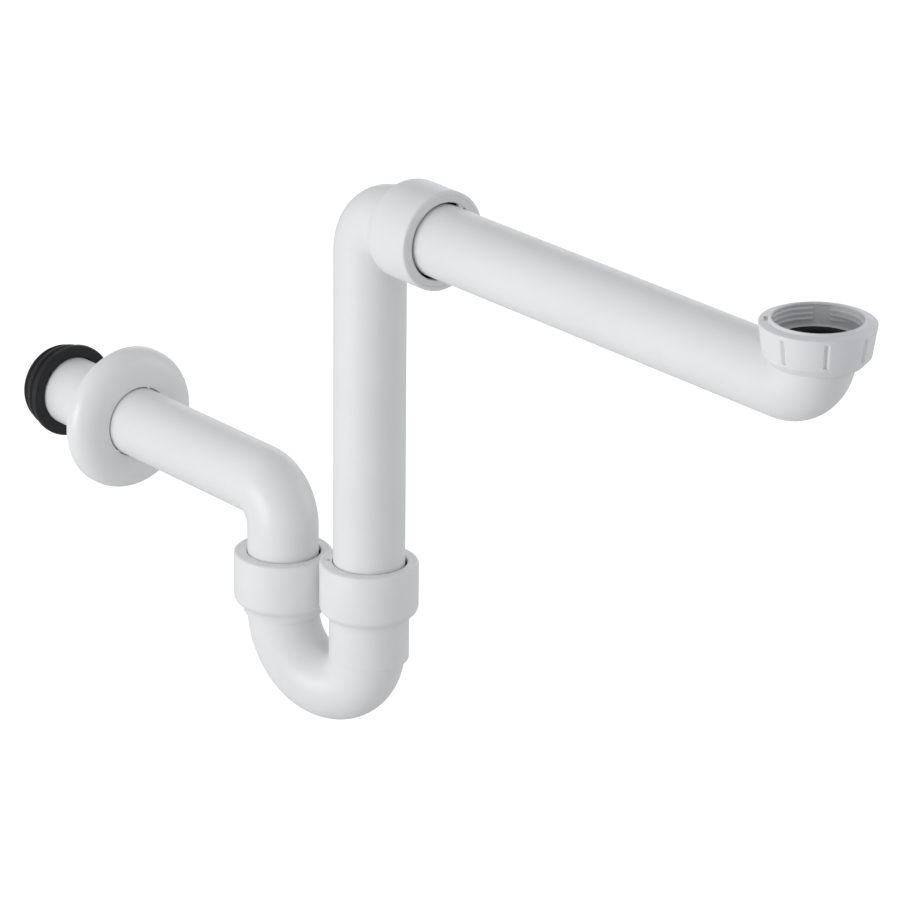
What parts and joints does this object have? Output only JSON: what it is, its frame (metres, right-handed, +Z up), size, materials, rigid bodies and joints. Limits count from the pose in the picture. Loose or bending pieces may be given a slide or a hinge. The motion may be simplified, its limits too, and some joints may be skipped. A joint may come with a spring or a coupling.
{
  "type": "space saving sink trap",
  "caption": "Push-fit plastic tube trap for a basin, with a long horizontal inlet arm, a U bend and an outlet pipe with a sliding wall rosette.",
  "frame": {"origin": "where the outlet pipe's axis crosses the plane of the wall, which is the wall seal's front face", "axes": "+Y along the outlet pipe into the wall, +Z up along the legs, +X to the right seen from the room"},
  "size_m": [0.0783, 0.5613, 0.2948],
  "materials": {
    "white plastic": "satin",
    "black rubber": "matte"
  },
  "bodies": {
    "wall": {"wall_seal": "black rubber"},
    "outlet": {"outlet_pipe": "white plastic"},
    "rosette": {"wall_rosette": "white plastic"},
    "outlet_seal": {"trap_outlet_seal": "black rubber"},
    "trap": {"trap_bend": "white plastic", "trap_outlet_ring": "white plastic", "trap_inlet_ring": "white plastic"},
    "inlet_seal": {"trap_inlet_seal": "black rubber"},
    "down": {"downpipe": "white plastic", "elbow_ring": "white plastic"},
    "arm_seal": {"elbow_seal": "black rubber"},
    "arm": {"inlet_tube": "white plastic", "inlet_gasket": "black rubber"},
    "nut": {"union_nut": "white plastic"}
  },
  "joints": [
    {"name": "outlet_push", "type": "slide", "parent": "wall", "child": "outlet", "axis": [0, 1, 0], "range_m": [-0.006, 0.015]},
    {"name": "rosette_slide", "type": "slide", "parent": "outlet", "child": "rosette", "axis": [0, 1, 0], "range_m": [-0.059, 0.028]},
    {"name": "outlet_leg_slide", "type": "slide", "parent": "outlet", "child": "outlet_seal", "axis": [0, 0, 1], "range_m": [-0.008, 0.003]},
    {"name": "trap_swing", "type": "hinge", "parent": "outlet_seal", "child": "trap", "pos_m": [0, -0.1728, -0.031], "axis": [0, 0, 1], "range_deg": [-150, 110]},
    {"name": "downpipe_turn", "type": "hinge", "parent": "trap", "child": "inlet_seal", "pos_m": [0.01666, -0.21856, -0.0261], "axis": [0, 0, 1], "continuous": true},
    {"name": "downpipe_slide", "type": "slide", "parent": "inlet_seal", "child": "down", "axis": [0, 0, 1], "range_m": [-0.005, 0.02]},
    {"name": "arm_turn", "type": "hinge", "parent": "down", "child": "arm_seal", "pos_m": [0.01666, -0.27126, 0.1495], "axis": [0, 1, 0], "continuous": true},
    {"name": "arm_slide", "type": "slide", "parent": "arm_seal", "child": "arm", "axis": [0, -1, 0], "range_m": [-0.003, 0.012]},
    {"name": "nut_turn", "type": "hinge", "parent": "arm", "child": "nut", "pos_m": [0.01666, -0.52056, 0.1826], "axis": [0, 0, 1], "continuous": true}
  ]
}
